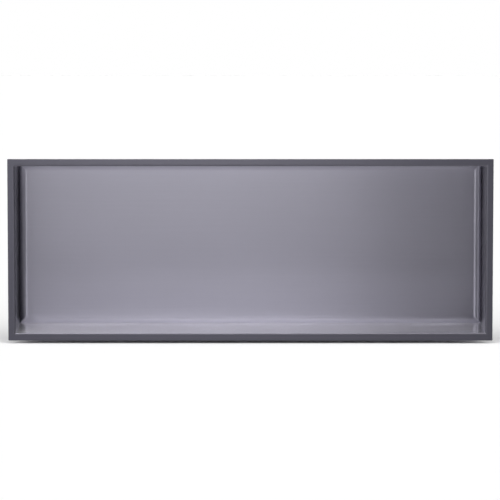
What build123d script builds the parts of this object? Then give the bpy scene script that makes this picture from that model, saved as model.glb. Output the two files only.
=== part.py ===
from build123d import *
from math import cos, radians, tan
import os

# Shower niche insert: one steel sheet folded into a shallow tray with a flat flange round its mouth.
# Millimetres. X runs along the wall, Y into the wall, Z up.
# The origin is the middle of the mouth, on the plane where the flange lies on the tiles.

# Driving dimensions
frame_width = 800.0  # flange, edge to edge, left to right
frame_height = 300.0  # flange, edge to edge, bottom to top
flange_width = 12.0  # from the flange's edge to the inside of the wall behind it
overall_depth = 100.0  # front of the flange to the outside of the back
sheet = 1.5  # thickness of the steel
floor_fall = 5.0  # degrees by which the floor drops towards the room, so that it drains
back_bend = 12.0  # inside radius where the walls turn into the back
flange_bend = 1.5  # inside radius where the walls turn out into the flange
corner_round = 1.0  # corners of the flange, dressed after welding
edge_break = 0.4  # front edge of the flange

# Mouth of the tray and the levels of its sheet, front to back
mouth_width = frame_width - 2 * flange_width
mouth_height = frame_height - 2 * flange_width
tile_plane = 0.0
flange_front = tile_plane - sheet
back_outside = flange_front + overall_depth
back_inside = back_outside - sheet

# The floor climbs from the mouth to the back
floor_climb = tan(radians(floor_fall))
floor_drop = sheet / cos(radians(floor_fall))  # height of the sloping sheet, measured straight down


def tray_side(front, back, low, high, width, rear_bend):
    # One side of the tray's sheet as a block: level ceiling, sloping floor, and its back edges rounded.
    # Low and high are the floor and the ceiling where they leave the front.
    outline = make_face(
        Polyline(
            (front, low),
            (back, low + floor_climb * (back - front)),
            (back, high),
            (front, high),
            close=True,
        )
    )
    block = extrude(Plane.YZ * outline, width / 2, both=True)
    return fillet(block.faces().sort_by(Axis.Y)[-1].edges(), rear_bend)


# Room side of the sheet, and the wall side one thickness outside it
room_side = tray_side(
    front=flange_front,
    back=back_inside,
    low=-mouth_height / 2,
    high=mouth_height / 2,
    width=mouth_width,
    rear_bend=back_bend,
)
wall_side = tray_side(
    front=flange_front,
    back=back_outside,
    low=-mouth_height / 2 - floor_drop,
    high=mouth_height / 2 + sheet,
    width=mouth_width + 2 * sheet,
    rear_bend=back_bend + sheet,
)

# Flange lying on the tiles
flange = extrude(Plane.XZ * RectangleRounded(frame_width, frame_height, corner_round), sheet)
flange = fillet(flange.faces().sort_by(Axis.Y)[0].edges(), edge_break)

niche_tray = flange + wall_side - room_side

# Walls turned out into the flange: the mouth's rim, and the root on the wall side
rim = niche_tray.faces().sort_by(Axis.Y)[0].inner_wires()[0].edges()
niche_tray = fillet(rim, flange_bend + sheet)
tile_faces = niche_tray.faces().filter_by(Plane.XZ)
flange_back = tile_faces.filter_by_position(Axis.Y, tile_plane - edge_break / 2, tile_plane + edge_break / 2)[0]
niche_tray = fillet(flange_back.inner_wires()[0].edges(), flange_bend)

niche_tray = niche_tray.solid()
niche_tray.label = "niche_tray"

os.makedirs("parts", exist_ok=True)
export_step(niche_tray, "parts/niche_tray.step")
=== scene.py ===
from math import cos, radians, sin, tan

import bpy
import numpy as np
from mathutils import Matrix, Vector


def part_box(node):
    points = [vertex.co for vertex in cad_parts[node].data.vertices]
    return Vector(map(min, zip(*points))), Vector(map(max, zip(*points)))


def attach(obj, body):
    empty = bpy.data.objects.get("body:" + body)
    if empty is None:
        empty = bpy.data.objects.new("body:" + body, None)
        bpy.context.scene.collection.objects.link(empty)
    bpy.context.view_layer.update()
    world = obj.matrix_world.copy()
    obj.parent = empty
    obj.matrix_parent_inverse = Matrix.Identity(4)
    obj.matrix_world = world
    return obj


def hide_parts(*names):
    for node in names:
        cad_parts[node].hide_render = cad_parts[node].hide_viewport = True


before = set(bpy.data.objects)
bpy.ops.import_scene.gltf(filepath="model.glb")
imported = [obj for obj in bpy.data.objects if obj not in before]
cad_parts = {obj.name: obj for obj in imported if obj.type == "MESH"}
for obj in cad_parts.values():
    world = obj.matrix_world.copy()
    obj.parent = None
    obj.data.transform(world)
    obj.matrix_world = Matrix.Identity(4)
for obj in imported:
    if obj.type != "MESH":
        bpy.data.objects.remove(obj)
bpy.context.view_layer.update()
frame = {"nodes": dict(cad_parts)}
print("frame loaded:", ", ".join(frame["nodes"]))


class Wire:
    # a shader socket that takes part in sums like a number

    def __init__(self, tree, socket=None):
        self.tree = tree
        self.socket = socket

    def add(self, kind, settings=None, values=None, output=0):
        # settings go first, because some of them change the sockets
        node = self.tree.nodes.new(kind)
        for name, value in (settings or {}).items():
            setattr(node, name, value)
        for name, value in (values or {}).items():
            if isinstance(value, Wire):
                self.tree.links.new(value.socket, node.inputs[name])
            else:
                node.inputs[name].default_value = value
        return None if output is None else Wire(self.tree, node.outputs[output])

    def maths(self, operation, first, second=0.0):
        return self.add("ShaderNodeMath", {"operation": operation}, {0: first, 1: second})

    def __add__(self, other):
        return self.maths("ADD", self, other)

    def __radd__(self, other):
        return self.maths("ADD", other, self)

    def __sub__(self, other):
        return self.maths("SUBTRACT", self, other)

    def __rsub__(self, other):
        return self.maths("SUBTRACT", other, self)

    def __mul__(self, other):
        return self.maths("MULTIPLY", self, other)

    def __rmul__(self, other):
        return self.maths("MULTIPLY", other, self)

    def __truediv__(self, other):
        return self.maths("DIVIDE", self, other)

    def __rtruediv__(self, other):
        return self.maths("DIVIDE", other, self)

    def ramp(self, low, high, start=0.0, end=1.0):
        # eased step from start to end while the value goes from low to high
        return self.add(
            "ShaderNodeMapRange",
            {"interpolation_type": "SMOOTHSTEP"},
            {"Value": self, "From Min": low, "From Max": high, "To Min": start, "To Max": end},
        )

    def blend(self, first, second):
        # colour that goes from first to second as the value goes from 0 to 1
        return self.add(
            "ShaderNodeMix",
            {"data_type": "RGBA"},
            {0: self, 6: first, 7: second},
            output=2,
        )

    def noise(self, scale, detail=2.0, roughness=0.5):
        # self is a vector here
        return self.add(
            "ShaderNodeTexNoise",
            {"noise_dimensions": "3D"},
            {"Vector": self, "Scale": scale, "Detail": detail, "Roughness": roughness},
        )


def rgb(red, green, blue):
    return (red, green, blue, 1.0)


def emptyTree(owner):
    owner.use_nodes = True
    owner.node_tree.nodes.clear()
    return Wire(owner.node_tree)


# the folded sheet, in metres; the same sizes as the CAD tray
traySizes = {
    "sheet": 0.0015,
    "flangeWidth": 0.012,
    "floorFall": 5.0,  # degrees, down towards the room
    "backBend": 0.012,  # inside radius, walls to back
    "flangeBend": 0.0015,  # inside radius, walls to flange
    "edgeBreak": 0.0004,  # front edge of the flange
    "insideWeld": 0.0006,  # radius of the dressed corners inside
    "outsideWeld": 0.0012,  # and outside
    "flangeCorner": 0.001,
    "alongX": 90,  # faces along the long sides
    "alongZ": 36,  # and along the short ones
    "bendSteps": 20,
    "rimSteps": 10,
    "edgeSteps": 4,
    "cornerSteps": 5,
    "wallRows": 9,
    "flangeShares": (0.03, 0.35, 0.65, 0.96),  # rows across the flange, bend to edge
    "support": 0.0003,  # faces this narrow beside a bend keep the flats flat
    "sharpFrom": 40.0,  # degrees between faces
    "grainCentre": 40.0,
}


def trayRows(size, low, high, offset):
    # Rows of the sheet's section from the back out to the flange, at offset outside the room side.
    # Back bend: a quarter circle round a centre one bend radius inside wall and back.
    # Wall: straight, except the floor, which drops by the tangent of its fall.
    # Flange bend: a quarter circle round a centre outside the wall, turning the other way.
    # Each row gives the depth and there the half width, ceiling height and floor height.
    s = size
    front = low[1]
    halfMouth = high[0] - s["flangeWidth"]
    ceiling = high[2] - s["flangeWidth"]
    floorFront = low[2] + s["flangeWidth"]
    slope = radians(s["floorFall"])
    outerBend = s["flangeBend"] + s["sheet"]
    backCentre = high[1] - s["sheet"] - s["backBend"]
    rimCentre = front + outerBend

    def floorAt(depth):
        return floorFront + tan(slope) * (depth - front)

    turn = np.linspace(np.pi / 2, 0, s["bendSteps"] + 1)
    radius = s["backBend"] + offset
    backDepth = backCentre + radius * np.sin(turn)
    backInset = s["backBend"] - radius * np.cos(turn)
    floorCentre = floorAt(backCentre) + s["backBend"] / cos(slope)
    backFloor = np.where(
        turn > slope,
        floorCentre - radius * np.cos(turn),
        floorAt(backDepth) - offset / cos(slope),
    )
    backRows = np.column_stack([backDepth, halfMouth - backInset, ceiling - backInset, backFloor])

    # plain wall, with narrow rows next to both bends
    wallDepth = np.linspace(backCentre - s["support"], rimCentre + s["support"], s["wallRows"])
    flat = np.full_like(wallDepth, offset)
    wallRows = np.column_stack(
        [wallDepth, halfMouth + flat, ceiling + flat, floorAt(wallDepth) - flat / cos(slope)]
    )

    turn = np.linspace(0, np.pi / 2, s["rimSteps"] + 1)
    radius = outerBend - offset
    rimDepth = rimCentre - radius * np.sin(turn)
    rimOutset = outerBend - radius * np.cos(turn)
    lipCentre = floorAt(rimCentre) - outerBend / cos(slope)
    rimFloor = np.where(
        turn > slope,
        lipCentre + radius * np.cos(turn),
        floorAt(rimDepth) - offset / cos(slope),
    )
    rimRows = np.column_stack([rimDepth, halfMouth + rimOutset, ceiling + rimOutset, rimFloor])
    return np.vstack([backRows, wallRows, rimRows])


def flangeRows(size, low, high, inner, depth):
    # rows of the flat flange from the bend's last row to the edge: shares of the way between them
    edge = np.array([depth, high[0], high[2], low[2]])
    start = np.array([depth, inner[1], inner[2], inner[3]])
    return start + (edge - start) * np.array(size["flangeShares"])[:, None]


def sheetSection(size, low, high):
    # The room side from the back out to the flange's edge, then the wall side back in.
    # Front corner of the edge: a quarter circle.
    s = size
    room = trayRows(s, low, high, 0.0)
    wall = trayRows(s, low, high, s["sheet"])
    front, tiles = low[1], low[1] + s["sheet"]
    turn = np.linspace(0, np.pi / 2, s["edgeSteps"] + 1)
    inset = s["edgeBreak"] - s["edgeBreak"] * np.sin(turn)
    edgeDepth = front + s["edgeBreak"] - s["edgeBreak"] * np.cos(turn)
    parts = [
        room,
        flangeRows(s, low, high, room[-1], front),
        np.column_stack([edgeDepth, high[0] - inset, high[2] - inset, low[2] + inset]),
        np.array([[tiles, high[0], high[2], low[2]]]),
        flangeRows(s, low, high, wall[-1], tiles)[::-1],
        wall[::-1],
    ]
    return np.vstack(parts), np.cumsum([0] + [len(p) for p in parts])


def ringPoints(size, rows, corner):
    # Each row becomes a ring: a rectangle with round corners at that row's depth.
    # Straight sides: evenly spread points with narrow gaps at their ends.
    # Corners: quarter circles.
    s = size
    depth, half, top, bottom = (rows[:, i][:, None] for i in range(4))
    r = corner[:, None]

    def side(fromX, toX, fromZ, toZ, count):
        narrow = s["support"] / np.hypot(toX - fromX, toZ - fromZ)
        even = np.linspace(0, 1, count - 1)[None, :]
        t = np.concatenate([0 * narrow, narrow + (1 - 2 * narrow) * even, 0 * narrow + 1], axis=1)
        return fromX + (toX - fromX) * t, fromZ + (toZ - fromZ) * t

    def arc(centreX, centreZ, startAngle):
        a = startAngle + np.linspace(0, np.pi / 2, s["cornerSteps"] + 1)[None, 1:-1]
        return centreX + r * np.cos(a), centreZ + r * np.sin(a)

    strips = [
        side(-half + r, half - r, bottom, bottom, s["alongX"]),
        arc(half - r, bottom + r, -np.pi / 2),
        side(half, half, bottom + r, top - r, s["alongZ"]),
        arc(half - r, top - r, 0.0),
        side(half - r, -half + r, top, top, s["alongX"]),
        arc(-half + r, top - r, np.pi / 2),
        side(-half, -half, top - r, bottom + r, s["alongZ"]),
        arc(-half + r, bottom + r, np.pi),
    ]
    x = np.concatenate([p[0] for p in strips], axis=1)
    z = np.concatenate([p[1] for p in strips], axis=1)
    y = np.broadcast_to(depth, x.shape)
    return np.stack([x, y, z], axis=2), [p[0].shape[1] for p in strips]


def flatPanel(size, rim, rimIndex, stripCounts, start, facesOut):
    # A flat grid inside a ring, one narrow seam away from it and matched to it point for point.
    # Round a corner the seam is a fan of triangles on the grid's own corner.
    sideX, cornerX, sideZ = stripCounts[:3]
    gridX, gridZ = np.meshgrid(rim[:sideX, 0], rim[sideX + cornerX: sideX + cornerX + sideZ, 2])
    inset = 1 - size["support"] / np.array([np.ptp(gridX), np.ptp(gridZ)])
    middle = np.array([gridX.mean(), (gridZ.max() + gridZ.min()) / 2])
    gridX = middle[0] + (gridX - middle[0]) * inset[0]
    gridZ = middle[1] + (gridZ - middle[1]) * inset[1]
    grid = np.stack([gridX, np.full_like(gridX, rim[0, 1]), gridZ], axis=2)

    own = start + np.arange(sideX * sideZ).reshape(sideZ, sideX)
    cells = np.stack([own[:-1, :-1], own[:-1, 1:], own[1:, 1:], own[1:, :-1]], axis=2)
    inner = np.concatenate(
        [
            own[0],
            np.full(stripCounts[1], own[0, -1]),
            own[:, -1],
            np.full(stripCounts[3], own[-1, -1]),
            own[-1, ::-1],
            np.full(stripCounts[5], own[-1, 0]),
            own[::-1, 0],
            np.full(stripCounts[7], own[0, 0]),
        ]
    )
    seam = np.stack([inner, rimIndex, np.roll(rimIndex, -1), np.roll(inner, -1)], axis=1)
    closed = inner == np.roll(inner, -1)
    quads = np.vstack([cells.reshape(-1, 4), seam[~closed]])
    triangles = seam[closed, :3]
    if facesOut:
        quads, triangles = quads[:, ::-1], triangles[:, ::-1]
    return grid.reshape(-1, 3), quads, triangles


def paintRings(mesh, name, rowShare, ringShare):
    # point attribute: each row's share times the share round the ring, and 0 on the flat panels
    values = np.zeros(len(mesh.vertices), np.float32)
    painted = np.outer(rowShare, ringShare).reshape(-1)
    values[: len(painted)] = painted
    attribute = mesh.attributes.new(name, "FLOAT", "POINT")
    attribute.data.foreach_set("value", values)


def markSheet(mesh, size, counts, stripCounts):
    # Bends: sine or cosine of the turn. Everything else: 0 or 1.
    rowCount = counts[-1]
    backBend = slice(0, size["bendSteps"] + 1)
    backTurn = np.linspace(0, np.pi / 2, size["bendSteps"] + 1)
    rimBend = slice(counts[1] - size["rimSteps"] - 1, counts[1])
    rimTurn = np.linspace(0, np.pi / 2, size["rimSteps"] + 1)

    # 1 on the rim's bend and the flange's edge, where hands and cloths rub; painted lighter there,
    # as wear and as a painted highlight along these edges
    wearAndHighlight = np.zeros(rowCount)
    wearAndHighlight[rimBend] = np.sin(2 * rimTurn)
    wearAndHighlight[counts[2]: counts[3]] = 1.0
    paintRings(mesh, "wearAndHighlight", wearAndHighlight, np.ones(sum(stripCounts)))

    # 1 along the welded corners outside
    weld = np.zeros(rowCount)
    weld[counts[5]:] = 1.0
    paintRings(mesh, "weld", weld, np.repeat([0, 1, 0, 1, 0, 1, 0, 1], stripCounts))

    # 1 on the inside floor and ceiling, falling to 0 round the bends at the back and the rim
    shelf = np.zeros(rowCount)
    shelf[: counts[1]] = 1.0
    shelf[backBend] = np.sin(backTurn)
    shelf[rimBend] = np.cos(rimTurn)
    paintRings(mesh, "shelf", shelf, np.repeat([1, 0.5, 0, 0.5, 1, 0.5, 0, 0.5], stripCounts))


def layFlat(mesh, points, run, level, panel, high):
    # UV map as on the flat sheet, in metres: along the grain, and across it.
    # Floor, ceiling and flange: X, and the length along the section.
    # End walls: the length along the section, and Z. Flat panels: X and Z.
    corners = np.zeros(len(mesh.loops), np.int32)
    mesh.loops.foreach_get("vertex_index", corners)
    sizes = np.zeros(len(mesh.polygons), np.int32)
    mesh.polygons.foreach_get("loop_total", sizes)
    isLevel = np.repeat(level, sizes)
    x, z = points[corners, 0], points[corners, 2]
    along = np.where(isLevel, x, np.sign(x) * (run[corners] + high[0]))
    across = np.where(isLevel, np.sign(z) * (run[corners] + high[2]), z)
    across = np.where(panel[corners], z, across)
    layout = mesh.uv_layers.new(name="flatSheet")
    layout.data.foreach_set("uv", np.column_stack([along, across]).astype(np.float32).ravel())


def buildTray(size, low, high):
    # one closed skin of rings, with a flat panel inside the first ring and the last
    rows, counts = sheetSection(size, low, high)

    # corners: tight inside, dressed round on the flange and outside
    corner = np.full(len(rows), size["flangeCorner"])
    corner[: counts[1]] = size["insideWeld"]
    corner[counts[5]:] = size["outsideWeld"]
    rings, stripCounts = ringPoints(size, rows, corner)
    rowCount, ringCount = rings.shape[:2]

    index = np.arange(rowCount * ringCount).reshape(rowCount, ringCount)
    onward = np.roll(index, -1, axis=1)
    skin = np.stack([index[:-1], index[1:], onward[1:], onward[:-1]], axis=2).reshape(-1, 4)
    back = flatPanel(size, rings[0], index[0], stripCounts, index.size, False)
    behindStart = index.size + len(back[0])
    behind = flatPanel(size, rings[-1], index[-1], stripCounts, behindStart, True)
    points = np.vstack([rings.reshape(-1, 3), back[0], behind[0]])
    quads = np.vstack([skin, back[1], behind[1]])
    triangles = np.vstack([back[2], behind[2]])
    mesh = bpy.data.meshes.new("nicheTray")
    mesh.from_pydata(points.tolist(), [], quads.tolist() + triangles.tolist())

    # length along the section at each point
    run = np.cumsum(np.hypot(np.diff(rows[:, 0]), np.diff(rows[:, 1])))
    run = np.concatenate([[0.0], run])
    runOfPoint = np.concatenate(
        [np.repeat(run, ringCount), np.full(len(back[0]), run[0]), np.full(len(behind[0]), run[-1])]
    )
    # level faces: all but the end walls
    level = np.ones(len(mesh.polygons), bool)
    level[: len(skin)] = np.tile(np.repeat([1, 1, 0, 0, 1, 1, 0, 0], stripCounts), rowCount - 1)
    panel = np.arange(len(points)) >= index.size
    layFlat(mesh, points, runOfPoint, level, panel, high)
    markSheet(mesh, size, counts, stripCounts)

    # texture space far in front of the tray, so that the shine is stretched across a grain that
    # runs along X on the flange, back and floor, and along Y on the end walls
    mesh.use_auto_texspace = False
    mesh.texspace_location = (0.0, -size["grainCentre"], 0.0)
    mesh.texspace_size = (1.0, 1.0, 1.0)

    mesh.polygons.foreach_set("use_smooth", np.ones(len(mesh.polygons), bool))
    mesh.set_sharp_from_angle(angle=radians(size["sharpFrom"]))
    mesh.update()
    tray = bpy.data.objects.new("nicheTray", mesh)
    bpy.context.collection.objects.link(tray)
    return tray


gunmetal = {
    "trayColour": rgb(0.300, 0.291, 0.352),
    "trayRoughness": 0.45,
    "brushing": 1.0,  # how much wider the shine is across the grain than along it
    "grainTurn": 0.25,  # a quarter turn, so that the shine is wide across the grain
    "hairlines": (9.0, 1900.0, 1.0),  # to the metre, along the grain and across it
    "streaks": (4.0, 260.0, 1.0),
    "bands": (1.5, 45.0, 1.0),
    "grainDepth": 0.000004,
    "waveDepth": 0.0002,  # slow waves in the flat sheet
    "lacquer": 0.4,
    "lacquerRoughness": 0.25,
    "edgeTint": rgb(0.65, 0.65, 0.65),  # how bright the brushed metal stays, seen edge on
    "gleamColour": rgb(0.96, 0.95, 0.97),  # floor and ceiling, seen almost edge on
    "gleamRoughness": 0.175,
    "gleamShare": 0.95,
    "gleamAngle": (0.60, 0.78),  # where it comes in; 0 is seen square on, 1 edge on
    "gleamBend": (0.60, 0.95),  # and round the bends; 0 is upright, 1 level
    # flange: partly a darker finish, partly painted shade for the dim floor in front of it
    "flangeColourAndShade": rgb(0.063, 0.061, 0.078),
    "flangeRoughness": 0.42,
    "flangeLacquer": 0.15,
    "flangeStart": (0.0009, -0.0013),  # depths on the rim's bend, metres
    # lighter on the rim's bend and the flange's edge: wear, and a painted highlight along these
    # edges
    "wearAndHighlightColour": rgb(0.40, 0.39, 0.43),
    "wearAndHighlightShare": 0.10,
    "weldColour": rgb(0.20, 0.19, 0.20),
}


def gunmetalSteel(look):
    material = bpy.data.materials.new("gunmetal steel")
    bench = emptyTree(material)

    def mark(name):
        return bench.add("ShaderNodeAttribute", {"attribute_name": name}, output="Fac")

    place = bench.add("ShaderNodeTexCoord", output="Object")
    depth = bench.add("ShaderNodeSeparateXYZ", values={0: place}, output="Y")
    sheet = bench.add("ShaderNodeUVMap", {"uv_map": "flatSheet"})
    wearAndHighlight, weld, shelf = mark("wearAndHighlight"), mark("weld"), mark("shelf")

    # marks of the brushing, long along the grain and fine across it
    def brushMarks(scale, **noise):
        laid = bench.add("ShaderNodeMapping", values={"Vector": sheet, "Scale": scale})
        return laid.noise(1.0, **noise)

    fine = brushMarks(look["hairlines"], detail=3.0, roughness=0.6)
    broad = brushMarks(look["streaks"])
    band = brushMarks(look["bands"])
    cloud = place.noise(9.0, detail=3.0)
    wave = place.noise(5.0, detail=1.0)

    shade = 0.95 + 0.08 * (fine - 0.5) + 0.04 * (broad - 0.5) + 0.05 * (cloud - 0.5)
    grey = bench.add("ShaderNodeCombineColor", values={0: shade, 1: shade, 2: shade})

    def mottled(colour):
        shaded = bench.add(
            "ShaderNodeMix",
            {"data_type": "RGBA", "blend_type": "MULTIPLY"},
            {0: 1.0, 6: colour, 7: grey},
            output=2,
        )
        # lighter on the rim's bend and flange edge: wear and a painted highlight
        return (wearAndHighlight * look["wearAndHighlightShare"]).blend(shaded, look["wearAndHighlightColour"])

    uneven = 0.08 * (fine - 0.5) + 0.04 * (cloud - 0.5) - 0.03 * wearAndHighlight + 0.1 * weld
    waves = bench.add(
        "ShaderNodeBump",
        values={"Height": wave, "Distance": look["waveDepth"], "Strength": 1.0},
    )
    grain = bench.add(
        "ShaderNodeBump",
        values={"Height": fine, "Distance": look["grainDepth"], "Strength": 1.0, "Normal": waves},
    )
    weldStain = weld * (0.35 + 0.5 * broad)
    brushed = bench.add(
        "ShaderNodeBsdfPrincipled",
        values={
            "Base Color": weldStain.blend(mottled(look["trayColour"]), look["weldColour"]),
            "Metallic": 1.0,
            "Roughness": look["trayRoughness"] + uneven,
            "Normal": grain,
            "Anisotropic": look["brushing"],
            "Anisotropic Rotation": look["grainTurn"],
            "Specular Tint": look["edgeTint"],
            "Coat Weight": look["lacquer"],
            "Coat Roughness": look["lacquerRoughness"],
        },
    )
    # almost edge on, the floor and ceiling mirror what stands on them
    gleam = bench.add(
        "ShaderNodeBsdfPrincipled",
        values={
            "Base Color": mottled(look["gleamColour"]),
            "Metallic": 1.0,
            "Roughness": look["gleamRoughness"] + 0.4 * uneven + 0.14 * (band - 0.5),
            "Normal": grain,
            "Anisotropic": look["brushing"],
            "Anisotropic Rotation": look["grainTurn"],
        },
    )
    facing = bench.add("ShaderNodeLayerWeight", values={"Blend": 0.5}, output="Facing")
    edgeOn = facing.ramp(*look["gleamAngle"])
    level = shelf.ramp(*look["gleamBend"])
    inside = bench.add(
        "ShaderNodeMixShader",
        values={0: level * edgeOn * look["gleamShare"], 1: brushed, 2: gleam},
    )
    # the flange is darker and dulled evenly; its colour is partly a darker finish and partly
    # painted shade, for the dim studio floor it faces
    shadedSatin = bench.add(
        "ShaderNodeBsdfPrincipled",
        values={
            "Base Color": mottled(look["flangeColourAndShade"]),
            "Metallic": 1.0,
            "Roughness": look["flangeRoughness"] + uneven,
            "Normal": grain,
            "Coat Weight": look["flangeLacquer"],
            "Coat Roughness": look["lacquerRoughness"],
        },
    )
    flange = depth.ramp(*look["flangeStart"])
    surface = bench.add("ShaderNodeMixShader", values={0: flange, 1: inside, 2: shadedSatin})
    bench.add("ShaderNodeOutputMaterial", values={"Surface": surface}, output=None)
    return material


low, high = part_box("niche_tray")
tray = buildTray(traySizes, np.array(low), np.array(high))
tray.data.materials.append(gunmetalSteel(gunmetal))
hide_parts("niche_tray")
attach(tray, "root")
print("tray built:", len(tray.data.polygons), "faces")


studio = {
    "gap": 0.005,  # the tray is held this far over the floor, so a dark line shows under the flange
    "floorSize": 60.0,
    "floorColour": rgb(0.95, 0.95, 0.95),
    "white": 1.0,
    "floorLight": 2.0,  # from the front half of the studio, brings the pale floor up to white
    "floorLightBack": 0.12,
    "floorLightTurn": (-0.3, 0.3),  # where one goes over to the other; -1 is the front, 1 the back
    "behindCamera": 0.03,  # how bright the dim end of the studio looks in the metal
    "dimTurn": (-0.1, 0.3),
}


def paleFloor(look, height):
    half = look["floorSize"] / 2
    mesh = bpy.data.meshes.new("floor")
    corners = [(-half, -half), (half, -half), (half, half), (-half, half)]
    mesh.from_pydata([(x, y, height) for x, y in corners], [], [(0, 1, 2, 3)])
    floor = bpy.data.objects.new("floor", mesh)
    bpy.context.collection.objects.link(floor)
    material = bpy.data.materials.new("pale floor")
    bench = emptyTree(material)
    pale = bench.add("ShaderNodeBsdfDiffuse", values={"Color": look["floorColour"]})
    bench.add("ShaderNodeOutputMaterial", values={"Surface": pale}, output=None)
    floor.data.materials.append(material)
    return floor


def softWorld(look):
    # White all round for the camera, and light for the floor from the front. In the metal the
    # backdrop is white too, and the end of the studio behind the camera is dim.
    world = bpy.data.worlds.new("studio")
    bpy.context.scene.world = world
    bench = emptyTree(world)
    direction = bench.add("ShaderNodeTexCoord", output="Generated")
    towardsBack = bench.add("ShaderNodeSeparateXYZ", values={0: direction}, output="Y")
    camera = bench.add("ShaderNodeLightPath", output="Is Camera Ray")
    glossy = bench.add("ShaderNodeLightPath", output="Is Glossy Ray")
    mirrored = towardsBack.ramp(*look["dimTurn"], look["behindCamera"], look["white"])
    floorLight = towardsBack.ramp(
        *look["floorLightTurn"], look["floorLight"], look["floorLightBack"]
    )
    strength = camera * look["white"] + glossy * mirrored + (1.0 - camera - glossy) * floorLight
    back = bench.add("ShaderNodeBackground", values={"Color": rgb(1, 1, 1), "Strength": strength})
    bench.add("ShaderNodeOutputWorld", values={"Surface": back}, output=None)


paleFloor(studio, low[2] - studio["gap"])
softWorld(studio)
print("floor and studio ready")


# softboxes: degrees round from the front (left is minus) and up, metres off, width, height, watts
lamps = {
    "overhead": {"round": 0, "up": 68.5, "off": 1.7, "wide": 2.2, "tall": 0.4, "power": 22},
    "overhead left": {"round": -30, "up": 68.5, "off": 1.7, "wide": 1.2, "tall": 0.4, "power": 10},
    "side": {"round": -76, "up": 15, "off": 1.6, "wide": 1.0, "tall": 0.75, "power": 7},
    "low front": {"round": -4, "up": 3.5, "off": 2.2, "wide": 0.9, "tall": 0.35, "power": 9.2},
}
lampAim = (0.0, 0.03, 0.0)


def softLamp(name, look, aim, lit):
    data = bpy.data.lights.new(name, "AREA")
    data.shape = "RECTANGLE"
    data.size = look["wide"]
    data.size_y = look["tall"]
    data.energy = look["power"]
    lamp = bpy.data.objects.new(name, data)
    bpy.context.collection.objects.link(lamp)
    turn, rise = radians(look["round"]), radians(look["up"])
    away = Vector((sin(turn) * cos(rise), -cos(turn) * cos(rise), sin(rise)))
    lamp.location = Vector(aim) + away * look["off"]
    lamp.rotation_mode = "QUATERNION"
    lamp.rotation_quaternion = (-away).to_track_quat("-Z", "Y")
    lamp.light_linking.receiver_collection = lit


# the softboxes light the tray alone, and the floor stays plain white
trayAlone = bpy.data.collections.new("trayAlone")
trayAlone.objects.link(tray)
for name, look in lamps.items():
    softLamp(name, look, lampAim, trayAlone)
print("softboxes placed:", len(lamps))


view = {
    "distance": 4.5,
    "elevation": 4.5,  # degrees
    "lens": 196.5,
    "sensor": 36.0,
    "aim": (-0.0007, 0.0, 0.0),
}


def photoCamera(look):
    data = bpy.data.cameras.new("camera")
    data.lens = look["lens"]
    data.sensor_width = look["sensor"]
    camera = bpy.data.objects.new("camera", data)
    bpy.context.collection.objects.link(camera)
    rise = radians(look["elevation"])
    aim = Vector(look["aim"])
    camera.location = aim + Vector((0, -cos(rise), sin(rise))) * look["distance"]
    camera.rotation_mode = "QUATERNION"
    camera.rotation_quaternion = (aim - camera.location).to_track_quat("-Z", "Y")
    bpy.context.scene.camera = camera


photoCamera(view)
bpy.context.scene.view_settings.view_transform = "Standard"
print("camera set")
